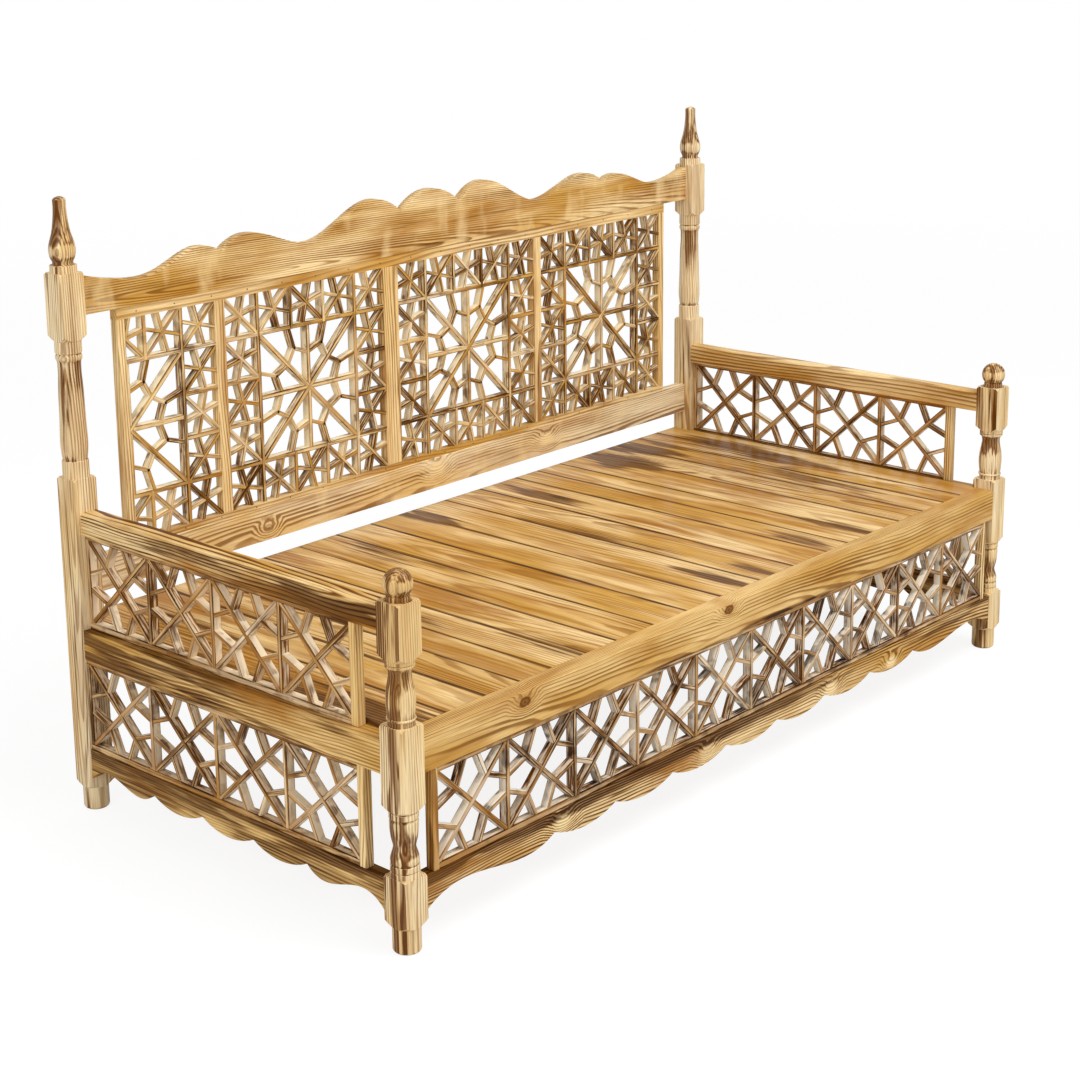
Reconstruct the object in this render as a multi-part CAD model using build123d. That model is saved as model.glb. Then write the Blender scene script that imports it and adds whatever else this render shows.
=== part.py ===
from build123d import *
import math
import os

# Persian takht: a pine day bench on four turned posts, with a boarded deck, two arms, a
# scalloped crest, and knotwork lattices in its back, in its arms and below its deck.
# Millimetres. +X runs along the bench, +Y to its back, +Z up. The origin lies on the
# floor under the middle of the bench.

os.makedirs("parts", exist_ok=True)

# ---------------------------------------------------------------- driving sizes
# Outside of the posts
length = 2100.0
depth = 980.0
post_side = 56.0

# Heights above the floor
foot_height = 50.0
skirt_bottom = 78.0
deck_top = 414.0
arm_top = 652.0
crest_bottom = 1050.0

# Heights of the rails and boards, and how far two of them lie above or below the deck
skirt_height = 64.0
front_rail_height = 72.0
end_rail_height = 62.0
back_rail_height = 75.0
arm_height = 46.0
crest_end_height = 86.0
end_rail_drop = 10.0
back_rail_rise = 52.0

# Full squares of the posts, as distances past the rails that they hold
square_above_skirt = 6.0
square_below_rail = 58.0
square_above_deck = 23.0
square_below_arm = 36.0
square_above_front_arm = 16.0
square_above_rear_arm = 70.0
square_below_crest = 34.0
square_above_crest = 7.0
shoulder_height = 11.0
square_ease = 4.0

# Turned parts of the posts
foot_diameter = 54.0
foot_roll = 7.0
collar_diameter = 55.0
ring_diameter = 54.6
ring_height = 10.0
bead_height = 6.0
groove = 2.4
lower_neck_diameter = 42.0
arm_neck_diameter = 42.0
back_collar_height = 35.0
upper_collar_height = 24.0
back_neck_diameter = 47.0
ball_diameter = 55.0
ball_collar_diameter = 43.0
ball_collar_height = 10.0
finial_collar_height = 15.0
finial_height = 152.0
finial_tip_diameter = 27.0

# Rails and boards
rail_setback = 1.0
rail_thickness = 43.0
skirt_thickness = 29.0
arm_setback = 12.0
arm_round = 7.0
edge_round = 2.0
back_setback = 21.0
back_rail_thickness = 28.0
crest_thickness = 26.0

# Mortise and tenon joints
tenon_thickness = 14.0
tenon_shoulder = 13.0
tenon_gap = 5.0
stub_length = 15.0
joint_clearance = 0.3

# Deck: the widths of its boards are scaled together to fill it
plank_widths = (
    *(113, 105, 95, 91, 92, 105, 118, 111, 116, 139),
    *(126, 131, 84, 89, 126, 105, 95, 79, 92),
)
plank_thickness = 18.0
plank_gap = 0.8
plank_ease = 1.2
ledger_width = 25.0
ledger_height = 40.0
bearer_width = 45.0

# Scallops of the skirts, with the lengths from the last cusp of each to the next low
# point, to the hump after it and to the post
cusp_rise = 24.0
lobe_drop = 19.0
hump_rise = 20.0
front_cusps = 8
front_low_run = 92.0
front_hump_run = 197.0
front_post_run = 350.0
end_cusps = 4
end_low_run = 61.0
end_hump_run = 115.0
end_post_run = 206.0

# Crest, sawn by eye: a smooth edge from post to cusp, from cusp to cusp and to the other
# post. A point is its place, as a share of the way from the middle to a post, and how
# far it is above the crest's ends.
crest_cusps = ((-0.622, -6.0), (-0.077, 11.0), (0.119, 14.0), (0.654, -1.0))
crest_swells = (
    ((-0.9, -25.0), (-0.8, -26.0), (-0.689, 12.0)),
    ((-0.547, 23.0), (-0.365, -20.0), (-0.175, 50.0)),
    ((0.021, 54.0),),
    ((0.209, 54.0), (0.395, -16.0), (0.591, 29.0)),
    ((0.709, 15.0), (0.839, -23.0), (0.92, -22.0)),
)

# Lattices in the skirts and arms
lattice_thickness = 20.0
lattice_setback = 3.0
arm_lattice_setback = 20.0
lattice_sill = 14.0
lattice_head = 12.0
front_stile = 14.0
end_stile = 18.0
rear_strip = 10.0
front_lattice_gap = 22.0
end_lattice_gap = 48.0
arm_lattice_gap = 75.0
front_cells = 10
end_cells = 4
grille_bar = 10.5
grille_branch = 9.5

# Screen in the back
screen_gap = 92.0
screen_setback = 2.0
screen_thickness = 22.0
screen_sill = 14.0
screen_head = 24.0
screen_stile = 20.0
screen_mullion = 28.0
centre_mullion = 48.0
panel_count = 3.5
knot_cells = 5
knot_divider = 10.0
knot_bar = 8.5
star_bar = 11.0
star_branch = 9.0
pin_diameter = 3.0
pin_length = 14.0

# How the bars of the cells lie, as shares of a cell's half width and half height: where
# the diagonals of the grilles fork and their branches land, and how far the two short
# arms of a knot lean.
grille_fork = 0.44
grille_foot = 0.2
knot_lean = 0.268

# Openings smaller than this, in square millimetres, are left solid
smallest_opening = 9.0

# ---------------------------------------------------------------- places
inner_x = length / 2 - post_side
inner_y = depth / 2 - post_side
post_x = length / 2 - post_side / 2
post_y = depth / 2 - post_side / 2
face_x = length / 2 - rail_setback
face_y = depth / 2 - rail_setback
skirt_top = skirt_bottom + skirt_height
rail_bottom = deck_top - front_rail_height
end_rail_top = deck_top - end_rail_drop
back_rail_bottom = deck_top + back_rail_rise
back_rail_top = back_rail_bottom + back_rail_height
arm_bottom = arm_top - arm_height
crest_end_top = crest_bottom + crest_end_height
plank_bottom = deck_top - plank_thickness
back_face = inner_y + back_setback
screen_face = back_face + screen_setback

parts = {}


def box(x0, x1, y0, y1, z0, z1):
    """Block between two opposite corners."""
    middle = Pos((x0 + x1) / 2, (y0 + y1) / 2, (z0 + z1) / 2)
    return middle * Box(abs(x1 - x0), abs(y1 - y0), abs(z1 - z0))


def mirrored(shape):
    """The same piece at the other end of the bench."""
    return mirror(shape, about=Plane.YZ)


# Flat pieces are drawn on their outer face, with a normal that points out of the bench
# and local Y upwards, and extruded inwards.


def facing_front(y):
    return Plane(origin=(0, y, 0), x_dir=(1, 0, 0), z_dir=(0, -1, 0))


def facing_right(x):
    return Plane(origin=(x, 0, 0), x_dir=(0, 1, 0), z_dir=(1, 0, 0))


def plate(drawn, face, thickness):
    """Plate of a shape that is drawn flat, behind a face plane."""
    return Solid.extrude(face.from_local_coords(drawn.face()), face.z_dir * -thickness)


def rectangle(x0, x1, y0, y1):
    return Pos((x0 + x1) / 2, (y0 + y1) / 2) * Rectangle(x1 - x0, y1 - y0)


# ---------------------------------------------------------------- rails and joints
# A section is the pair of limits across the rail and the pair of its heights. Rails
# along X are given by their Y limits, rails along Y by the X limits at the right end.
front_rail = (-face_y, -face_y + rail_thickness, rail_bottom, deck_top)
front_skirt = (-face_y, -face_y + skirt_thickness, skirt_bottom, skirt_top)
rear_rail = (face_y - rail_thickness, face_y, rail_bottom, plank_bottom)
back_rail = (back_face, back_face + back_rail_thickness, back_rail_bottom, back_rail_top)
crest = (back_face, back_face + crest_thickness, crest_bottom, crest_end_top)
end_rail = (face_x - rail_thickness, face_x, end_rail_top - end_rail_height, end_rail_top)
end_skirt = (face_x - skirt_thickness, face_x, skirt_bottom, skirt_top)
arm_rail = (inner_x, length / 2 - arm_setback, arm_bottom, arm_top)

# Tenons in neighbouring faces of a post stop short of each other.
tenon_length = post_side - rail_setback - (rail_thickness + tenon_thickness) / 2 - tenon_gap


def tenon_limits(section, grow):
    """Limits of a tenon in the middle of its rail, grown on every side."""
    near, far, z0, z1 = section
    middle = (near + far) / 2
    half = tenon_thickness / 2 + grow
    return middle - half, middle + half, z0 + tenon_shoulder - grow, z1 - tenon_shoulder + grow


def tenon_x(side, start, reach, section, grow=0.0):
    """Tenon along X from the face x = start, on the left (-1) or right (+1)."""
    limits = tenon_limits(section, grow)
    return box(side * (start - grow), side * (start + reach + grow), *limits)


def tenon_y(side, start, reach, section, grow=0.0):
    """Tenon along Y from the face y = start, at the front (-1) or back (+1)."""
    near, far, z0, z1 = tenon_limits(section, grow)
    return box(near, far, side * (start - grow), side * (start + reach + grow), z0, z1)


def with_tenons_x(body, section):
    for side in (-1, 1):
        body = body + tenon_x(side, inner_x, tenon_length, section)
    return body


def with_tenons_y(body, section):
    for side in (-1, 1):
        body = body + tenon_y(side, inner_y, tenon_length, section)
    return body


def long_edges(body, axis):
    """The two upper edges of a bar along the given axis."""
    return body.edges().filter_by(axis).group_by(Axis.Z)[-1]


# ---------------------------------------------------------------- posts
# A post is a square bar turned down between its full squares. The turning is a profile
# of (radius, height) steps: one pair is a straight line to it, two pairs an arc through
# the first to the second, and more a smooth curve through them all.


def turned(start, steps):
    here = Vector(start[0], 0, start[1])
    edges = [Line(Vector(0, 0, start[1]), here)]
    for step in steps:
        points = [Vector(r, 0, z) for r, z in step]
        if len(points) == 1:
            edges.append(Line(here, points[0]))
        elif len(points) == 2:
            edges.append(ThreePointArc(here, *points))
        else:
            edges.append(Spline(here, *points))
        here = points[-1]
    edges.append(Line(here, Vector(0, 0, start[1])))
    return revolve(Face(Wire(edges)), Axis.Z)


corner_r = post_side / math.sqrt(2)
clear_r = corner_r + square_ease
collar_r = collar_diameter / 2
ring_r = ring_diameter / 2
groove_r = ring_r - groove


def square(z0, z1):
    """Full square between two heights, with a coned shoulder below and eased corners."""
    return [
        [(corner_r, z0)],
        [(clear_r, z0)],
        [(clear_r, z1 - square_ease)],
        [(corner_r, z1 - square_ease)],
        [(corner_r - square_ease, z1)],
    ]


def foot(z1):
    """Round foot with a rolled lower edge and a shoulder up to the square at z1."""
    foot_r = foot_diameter / 2
    near_45 = foot_roll * (1 - math.sqrt(0.5))
    return [
        [(foot_r - near_45, near_45), (foot_r, foot_roll)],
        [(foot_r, z1 - shoulder_height)],
    ]


def swell(thin_r, thick_r, z0, run, shape):
    """Smooth curve: each point is a share of the swell and a share of the height."""
    return [(thin_r + a * (thick_r - thin_r), z0 + b * run) for a, b in shape]


def lower_turning(z0, z1):
    """Collar, ring, bulb, neck, vase and ring between the two lower squares."""
    ring_z = z0 + ring_height + groove
    bulb_z = ring_z + ring_height + groove
    top_z = z1 - shoulder_height - ring_height - groove
    run = top_z - bulb_z
    neck_r = lower_neck_diameter / 2
    shape = ((0.94, 0.1), (0.19, 0.3), (0.0, 0.39), (0.32, 0.49), (0.81, 0.72), (0.94, 0.93))
    return [
        [(collar_r, z0)],
        [(collar_r, ring_z - groove)],
        [(groove_r, ring_z - groove / 2)],
        [(ring_r, ring_z)],
        [(ring_r, ring_z + ring_height)],
        [(groove_r, bulb_z - groove / 2)],
        swell(neck_r, ring_r, bulb_z, run, shape),
        [(groove_r, top_z)],
        [(collar_r, top_z + groove / 2)],
        [(collar_r, top_z + groove / 2 + ring_height)],
        [(groove_r, z1 - shoulder_height)],
    ]


def arm_turning(z0, z1):
    """Collar, bead, vase and ring between the arm's square and the deck's."""
    bead_z = z0 + ring_height + groove
    vase_z = bead_z + groove
    top_z = z1 - shoulder_height - bead_height
    run = top_z - bead_height - groove - vase_z
    neck_r = arm_neck_diameter / 2
    shape = ((0.9, 0.2), (1.0, 0.38), (0.75, 0.56), (0.13, 0.79), (0.0, 0.88), (0.48, 1.0))
    return [
        [(groove_r, z0)],
        [(groove_r, bead_z - groove)],
        [(ring_r, bead_z), (groove_r, vase_z)],
        swell(neck_r, ring_r, vase_z, run, shape),
        [(ring_r, top_z - bead_height)],
        [(ring_r, top_z - groove)],
        [(groove_r, top_z - groove / 2)],
        [(collar_r, top_z)],
        [(collar_r, z1 - shoulder_height)],
    ]


def back_turning(z0, z1):
    """Plain collar, long vase, bead and collar between the squares of a back post."""
    vase_z = z0 + back_collar_height + 2 * groove
    collar_z = z1 - shoulder_height - upper_collar_height
    run = collar_z - groove - vase_z
    neck_r = back_neck_diameter / 2
    shape = ((0.79, 0.03), (1.0, 0.3), (0.26, 0.74), (0.0, 0.88), (0.21, 0.93))
    return [
        [(collar_r, z0)],
        [(collar_r, z0 + back_collar_height)],
        [(groove_r, z0 + back_collar_height + groove)],
        swell(neck_r, ring_r, vase_z, run, shape),
        [(ring_r, vase_z + 0.96 * run), (groove_r, collar_z - groove)],
        [(collar_r, collar_z)],
        [(collar_r, z1 - shoulder_height)],
    ]


def cap(radius, rise, top):
    """Arc that closes a turning with a shallow spherical cap."""
    sphere_r = (radius**2 + rise**2) / (2 * rise)
    turn = math.asin(radius / sphere_r) / 2
    halfway = (sphere_r * math.sin(turn), top - sphere_r * (1 - math.cos(turn)))
    return [halfway, (0.0, top)]


def ball(z0):
    """Short collar under a ball."""
    ball_r = ball_diameter / 2
    seat_r = ball_collar_diameter / 2 - groove
    seat_z = z0 + ball_collar_height
    centre = seat_z + math.sqrt(ball_r**2 - seat_r**2)
    top = centre + ball_r
    steps = [
        [(ball_collar_diameter / 2, z0)],
        [(ball_collar_diameter / 2, seat_z - groove / 2)],
        [(seat_r, seat_z)],
        [(ball_r, centre), (0.0, top)],
    ]
    return steps, top


def bullet(z0):
    """Collar, groove and a bullet-shaped spire with a blunt tip."""
    groove_z = z0 + finial_collar_height + groove
    bulb_z = groove_z + 2 * groove
    top = z0 + finial_height
    tip_r = finial_tip_diameter / 2
    tip_rise = tip_r / 2
    tip_z = top - tip_rise
    neck_r = lower_neck_diameter / 2
    shape = (
        *((0.81, 0.06), (1.0, 0.18), (0.83, 0.31), (0.46, 0.45)),
        *((0.17, 0.63), (0.0, 0.82), (0.0, 1.0)),
    )
    steps = [
        [(collar_r, z0)],
        [(collar_r, z0 + finial_collar_height)],
        [(neck_r, groove_z)],
        [(neck_r, bulb_z)],
        swell(tip_r, ring_r, bulb_z, tip_z - bulb_z, shape),
        cap(tip_r, tip_rise, top),
    ]
    return steps, top


def post(steps, top):
    """Square bar cut to its turned profile."""
    half = post_side / 2
    blank = box(-half, half, -half, half, -1, top + 1)
    return blank & turned((foot_diameter / 2 - foot_roll, 0.0), steps)


lower_square = (foot_height + shoulder_height, skirt_top + square_above_skirt)
middle_square = (rail_bottom - square_below_rail, deck_top + square_above_deck)
arm_square = (arm_bottom - square_below_arm, arm_top + square_above_front_arm)
back_square = (foot_height + shoulder_height, arm_top + square_above_rear_arm)
crest_square = (crest_bottom - square_below_crest, crest_end_top + square_above_crest)

ball_steps, ball_top = ball(arm_square[1])
front_post = post(
    foot(lower_square[0])
    + square(*lower_square)
    + lower_turning(lower_square[1], middle_square[0])
    + square(*middle_square)
    + arm_turning(middle_square[1], arm_square[0])
    + square(*arm_square)
    + ball_steps,
    ball_top,
)
bullet_steps, bullet_top = bullet(crest_square[1])
rear_post = post(
    foot(back_square[0])
    + square(*back_square)
    + back_turning(back_square[1], crest_square[0])
    + square(*crest_square)
    + bullet_steps,
    bullet_top,
)


def mortised(blank, y_side, sections):
    """Right-hand post in place, with the mortises for its rails."""
    body = Pos(post_x, y_side * post_y, 0) * blank
    for section in sections:
        body = body - tenon_x(1, inner_x, tenon_length, section, joint_clearance)
    for section in (end_rail, end_skirt, arm_rail):
        body = body - tenon_y(y_side, inner_y, tenon_length, section, joint_clearance)
    return body


parts["post_front_right"] = mortised(front_post, -1, (front_rail, front_skirt))
parts["post_rear_right"] = mortised(rear_post, 1, (rear_rail, back_rail, crest))
for name in ("post_front", "post_rear"):
    parts[name + "_left"] = mirrored(parts[name + "_right"])

# ---------------------------------------------------------------- rails
bearer = (-bearer_width / 2, bearer_width / 2, rail_bottom, plank_bottom)
bearer_end = face_x - rail_thickness


def rail_x(section):
    return box(-inner_x, inner_x, *section)


def rail_y(section):
    near, far, z0, z1 = section
    return box(near, far, -inner_y, inner_y, z0, z1)


front_bar = rail_x(front_rail)
front_bar = fillet(long_edges(front_bar, Axis.X)[0:1], edge_round)
parts["front_rail"] = with_tenons_x(front_bar, front_rail)
parts["rear_rail"] = with_tenons_x(rail_x(rear_rail), rear_rail)
back_bar = rail_x(back_rail)
back_bar = fillet(long_edges(back_bar, Axis.X), edge_round)
parts["back_rail"] = with_tenons_x(back_bar, back_rail)

end_bar = with_tenons_y(rail_y(end_rail), end_rail)
end_bar = end_bar - tenon_x(1, bearer_end, stub_length, bearer, joint_clearance)
parts["end_rail_right"] = end_bar
arm_bar = rail_y(arm_rail)
arm_bar = fillet(long_edges(arm_bar, Axis.Y), arm_round)
parts["arm_rail_right"] = with_tenons_y(arm_bar, arm_rail)

# ---------------------------------------------------------------- scalloped skirts


def scallops(half_span, cusps, low_run, hump_run, post_run):
    """Lower edge of a skirt, left to right, with equal lobes between its cusps."""
    last = half_span - post_run
    pitch = 2 * last / (cusps - 1)
    cusp_z = skirt_bottom + cusp_rise
    lobe_z = cusp_z - lobe_drop
    outer = [
        (last, cusp_z),
        (last + low_run, lobe_z),
        (last + hump_run, skirt_bottom + hump_rise),
        (half_span, skirt_bottom),
    ]
    edges = [Spline(*[(-x, z) for x, z in reversed(outer)])]
    for k in range(cusps - 1):
        x = k * pitch - last
        edges.append(ThreePointArc((x, cusp_z), (x + pitch / 2, lobe_z), (x + pitch, cusp_z)))
    edges.append(Spline(*outer))
    return edges


def skirt(half_span, shape, face):
    """Skirt board with a straight upper edge, drawn on its outer face."""
    edges = scallops(half_span, *shape)
    edges.append(Line((half_span, skirt_bottom), (half_span, skirt_top)))
    edges.append(Line((half_span, skirt_top), (-half_span, skirt_top)))
    edges.append(Line((-half_span, skirt_top), (-half_span, skirt_bottom)))
    return plate(Face(Wire(edges)), face, skirt_thickness)


front_shape = (front_cusps, front_low_run, front_hump_run, front_post_run)
front_board = skirt(inner_x, front_shape, facing_front(-face_y))
parts["front_skirt"] = with_tenons_x(front_board, front_skirt)
end_shape = (end_cusps, end_low_run, end_hump_run, end_post_run)
end_board = skirt(inner_y, end_shape, facing_right(face_x))
parts["end_skirt_right"] = with_tenons_y(end_board, end_skirt)

# ---------------------------------------------------------------- crest


def on_crest(point):
    share, rise = point
    return (share * inner_x, crest_end_top + rise)


crest_breaks = ((-1.0, 0.0), *crest_cusps, (1.0, 0.0))
crest_edges = [
    Spline(*[on_crest(point) for point in (start, *swell, end)])
    for start, swell, end in zip(crest_breaks, crest_swells, crest_breaks[1:])
]
crest_edges += [
    Line((inner_x, crest_end_top), (inner_x, crest_bottom)),
    Line((inner_x, crest_bottom), (-inner_x, crest_bottom)),
    Line((-inner_x, crest_bottom), (-inner_x, crest_end_top)),
]
crest_board = plate(Face(Wire(crest_edges)), facing_front(back_face), crest_thickness)
parts["crest_rail"] = with_tenons_x(crest_board, crest)

# ---------------------------------------------------------------- lattice cells
# A lattice is a plate pierced by the openings that its bars leave. Cells are drawn about
# their own middle. Places in a cell are shares of its half width and half height.


def bar(start, end, width):
    """Strip along a centre line, run on by half its width past both ends."""
    run = Vector(end[0] - start[0], end[1] - start[1], 0)
    angle = math.degrees(math.atan2(run.Y, run.X))
    middle = Pos((start[0] + end[0]) / 2, (start[1] + end[1]) / 2)
    return middle * Rot(0, 0, angle) * Rectangle(run.length + width, width)


def open_faces(width, height, bars):
    """What the bars leave open in a cell."""
    cell = Rectangle(width, height) - bars
    return [face for face in cell.faces() if face.area > smallest_opening]


def grille_cell(width, height):
    """Both diagonals, each forking in two where it nears its corner."""
    u = width / 2
    v = height / 2
    bars = [bar((-u, -v), (u, v), grille_bar), bar((-u, v), (u, -v), grille_bar)]
    for sx in (-1, 1):
        for sy in (-1, 1):
            node = (sx * grille_fork * u, sy * grille_fork * v)
            bars.append(bar(node, (sx * grille_foot * u, sy * v), grille_branch))
            bars.append(bar(node, (sx * u, sy * grille_foot * v), grille_branch))
    return open_faces(width, height, bars)


def knot_cell(width, height, rising):
    """One diagonal crossed by two arms, sixty degrees apart from each other."""
    u = width / 2
    v = height / 2
    s = 1 if rising else -1
    bars = [
        bar((-s * u, -v), (s * u, v), knot_bar),
        bar((-s * knot_lean * u, v), (s * knot_lean * u, -v), knot_bar),
        bar((-s * u, knot_lean * v), (s * u, -knot_lean * v), knot_bar),
    ]
    return open_faces(width, height, bars)


def star_cell(width, height):
    """Eight arms from the middle, tied by a ring of forked branches."""
    u = width / 2
    v = height / 2
    bars = [
        bar((-u, 0), (u, 0), star_bar),
        bar((0, -v), (0, v), star_bar),
        bar((-u, -v), (u, v), star_bar),
        bar((-u, v), (u, -v), star_bar),
    ]
    # In the eighth of the star beside the upward arm
    fork = (0.29, 0.68)
    branch_ends = ((0.0, 0.57), (0.43, 0.43), (0.39, 1.0))
    for sx in (-1, 1):
        for sy in (-1, 1):
            for end in branch_ends:
                a = (sx * fork[0] * u, sy * fork[1] * v)
                b = (sx * end[0] * u, sy * end[1] * v)
                bars.append(bar(a, b, star_branch))
                a = (sx * fork[1] * u, sy * fork[0] * v)
                b = (sx * end[1] * u, sy * end[0] * v)
                bars.append(bar(a, b, star_branch))
    return open_faces(width, height, bars)


def placed(faces, x, y):
    """Openings, moved so that their cell's middle is at (x, y)."""
    return [Pos(x, y) * face for face in faces]


# ---------------------------------------------------------------- skirt and arm lattices


def grille(x0, x1, z0, z1, rear, front, cells, face):
    """Plate with a row of equal cells between its sill, its head and two end strips."""
    width = (x1 - x0 - rear - front - (cells - 1) * grille_bar) / cells
    height = z1 - z0 - lattice_sill - lattice_head
    middle = z0 + lattice_sill + height / 2
    faces = grille_cell(width, height)
    holes = []
    for k in range(cells):
        holes += placed(faces, x0 + rear + width / 2 + k * (width + grille_bar), middle)
    return plate(rectangle(x0, x1, z0, z1) - holes, face, lattice_thickness)


lattice_face = -face_y + lattice_setback
lattice_end = inner_x - front_lattice_gap - front_stile
parts["front_lattice"] = grille(
    -lattice_end,
    lattice_end,
    skirt_top,
    rail_bottom,
    0,
    0,
    front_cells,
    facing_front(lattice_face),
)
for side, name in ((-1, "left"), (1, "right")):
    parts["front_lattice_stile_" + name] = box(
        side * lattice_end,
        side * (lattice_end + front_stile),
        lattice_face,
        lattice_face + lattice_thickness,
        skirt_top,
        rail_bottom,
    )

# The lattices at the ends run from the back post to a stile short of the front post.


def end_lattice(name, outer_x, gap, z0, z1):
    front = -inner_y + gap
    back = front + end_stile
    inner = outer_x - lattice_thickness
    parts[name + "_right"] = grille(
        back, inner_y, z0, z1, 0, rear_strip, end_cells, facing_right(outer_x)
    )
    parts[name + "_stile_right"] = box(inner, outer_x, front, back, z0, z1)


lower_x = face_x - lattice_setback
end_lattice("end_lattice", lower_x, end_lattice_gap, skirt_top, rail_bottom)
arm_x = length / 2 - arm_lattice_setback
end_lattice("arm_lattice", arm_x, arm_lattice_gap, end_rail_top, arm_bottom)

for name in (
    "end_rail",
    "end_skirt",
    "arm_rail",
    "end_lattice",
    "end_lattice_stile",
    "arm_lattice",
    "arm_lattice_stile",
):
    parts[name + "_left"] = mirrored(parts[name + "_right"])

# ---------------------------------------------------------------- screen in the back
# Half a panel and three whole ones stand between uprights, on a sill and under a head.
screen_x = inner_x - screen_gap
screen_back = screen_face + screen_thickness
sill_top = back_rail_top + screen_sill
head_bottom = crest_bottom - screen_head
screen_middle = (sill_top + head_bottom) / 2
uprights = 2 * screen_stile + 2 * screen_mullion + centre_mullion
panel_width = (2 * screen_x - uprights) / panel_count
panel_height = head_bottom - sill_top
dividers = (knot_cells - 1) * knot_divider
cell_width = (panel_width - dividers) / knot_cells
cell_height = (panel_height - dividers) / knot_cells
pitch_x = cell_width + knot_divider
pitch_z = cell_height + knot_divider

# How the diagonals of a panel's border cells lean, from the top row down. The middle
# three rows and columns are one large star.
diagonals = ("\\/\\//", "\\   /", "/   \\", "\\   /", "/\\/\\\\")


def panel_openings():
    """Openings of a whole panel, about its middle."""
    knots = {
        "/": knot_cell(cell_width, cell_height, True),
        "\\": knot_cell(cell_width, cell_height, False),
    }
    star = star_cell(panel_width - 2 * pitch_x, panel_height - 2 * pitch_z)
    openings = list(star)
    for row, line in enumerate(diagonals):
        for column, lean in enumerate(line):
            cell = knots.get(lean, [])
            openings += placed(cell, (column - 2) * pitch_x, (2 - row) * pitch_z)
    return openings


whole_panel = panel_openings()


def screen_panel(x0, x1, middle):
    """Panel between two uprights, cut from a whole one with the given middle."""
    drawn = rectangle(x0, x1, sill_top, head_bottom)
    drawn -= placed(whole_panel, middle, screen_middle)
    return plate(drawn, facing_front(screen_face), screen_thickness)


def screen_upright(x0, x1):
    return box(x0, x1, screen_face, screen_back, sill_top, head_bottom)


x = -screen_x
parts["screen_stile_left"] = screen_upright(x, x + screen_stile)
x += screen_stile
half_end = x + panel_width / 2
parts["screen_panel_half"] = screen_panel(x, half_end, x)
x = half_end
for name, width in (
    ("left", screen_mullion),
    ("centre", centre_mullion),
    ("right", screen_mullion),
):
    parts["screen_mullion_" + name] = screen_upright(x, x + width)
    x += width
    panel = screen_panel(x, x + panel_width, x + panel_width / 2)
    parts["screen_panel_" + name] = panel
    x += panel_width
parts["screen_stile_right"] = screen_upright(x, x + screen_stile)

# One pin for each column of cells, in the sill and in the head
pin_count = round(panel_count * knot_cells)
pin_step = 2 * screen_x / pin_count


def pins(z, clearance):
    """Row of pins, or of the holes for them, level with the screen's face."""
    radius = pin_diameter / 2 + clearance
    start = (Align.CENTER, Align.CENTER, Align.MIN)
    pin = Rot(-90, 0, 0) * Cylinder(radius, pin_length + clearance, align=start)
    places = [-screen_x + (k + 0.5) * pin_step for k in range(pin_count)]
    return [Pos(x, screen_face, z) * pin for x in places]


sill_pin_z = back_rail_top + screen_sill / 2
head_pin_z = head_bottom + screen_head / 2
sill = box(-screen_x, screen_x, screen_face, screen_back, back_rail_top, sill_top)
parts["screen_sill"] = sill - pins(sill_pin_z, joint_clearance)
head = box(-screen_x, screen_x, screen_face, screen_back, head_bottom, crest_bottom)
parts["screen_head"] = head - pins(head_pin_z, joint_clearance)
parts["screen_pins"] = Compound(children=pins(sill_pin_z, 0) + pins(head_pin_z, 0))

# ---------------------------------------------------------------- deck
# Boards run from the front rail over the rear rail, on a ledger and a middle bearer.
deck_front = -face_y + rail_thickness
deck_width = 2 * bearer_end
stretch = deck_width / sum(plank_widths)
notch_side = post_side + 2 * plank_gap
x = -bearer_end
for number, width in enumerate(plank_widths, start=1):
    x0 = x + plank_gap / 2
    x += width * stretch
    x1 = x - plank_gap / 2
    plank = box(x0, x1, deck_front + plank_gap, face_y, plank_bottom, deck_top)
    plank = fillet(long_edges(plank, Axis.Y), plank_ease)
    for sx in (-1, 1):
        if max(sx * x0, sx * x1) > inner_x - plank_gap:
            for sy in (-1, 1):
                notch = Box(notch_side, notch_side, 4 * plank_thickness)
                plank = plank - Pos(sx * post_x, sy * post_y, plank_bottom) * notch
    parts["deck_plank_" + str(number).zfill(2)] = plank

ledger = (deck_front, deck_front + ledger_width, plank_bottom - ledger_height, plank_bottom)
parts["front_ledger"] = rail_x(ledger)
bearer_bar = box(-bearer_end, bearer_end, *bearer)
for side in (-1, 1):
    bearer_bar = bearer_bar + tenon_x(side, bearer_end, stub_length, bearer)
parts["centre_bearer"] = bearer_bar

# ---------------------------------------------------------------- files
for name, shape in parts.items():
    export_step(shape, "parts/" + name + ".step")
print(len(parts), "pieces,", round(bullet_top, 1), "mm tall")
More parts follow.
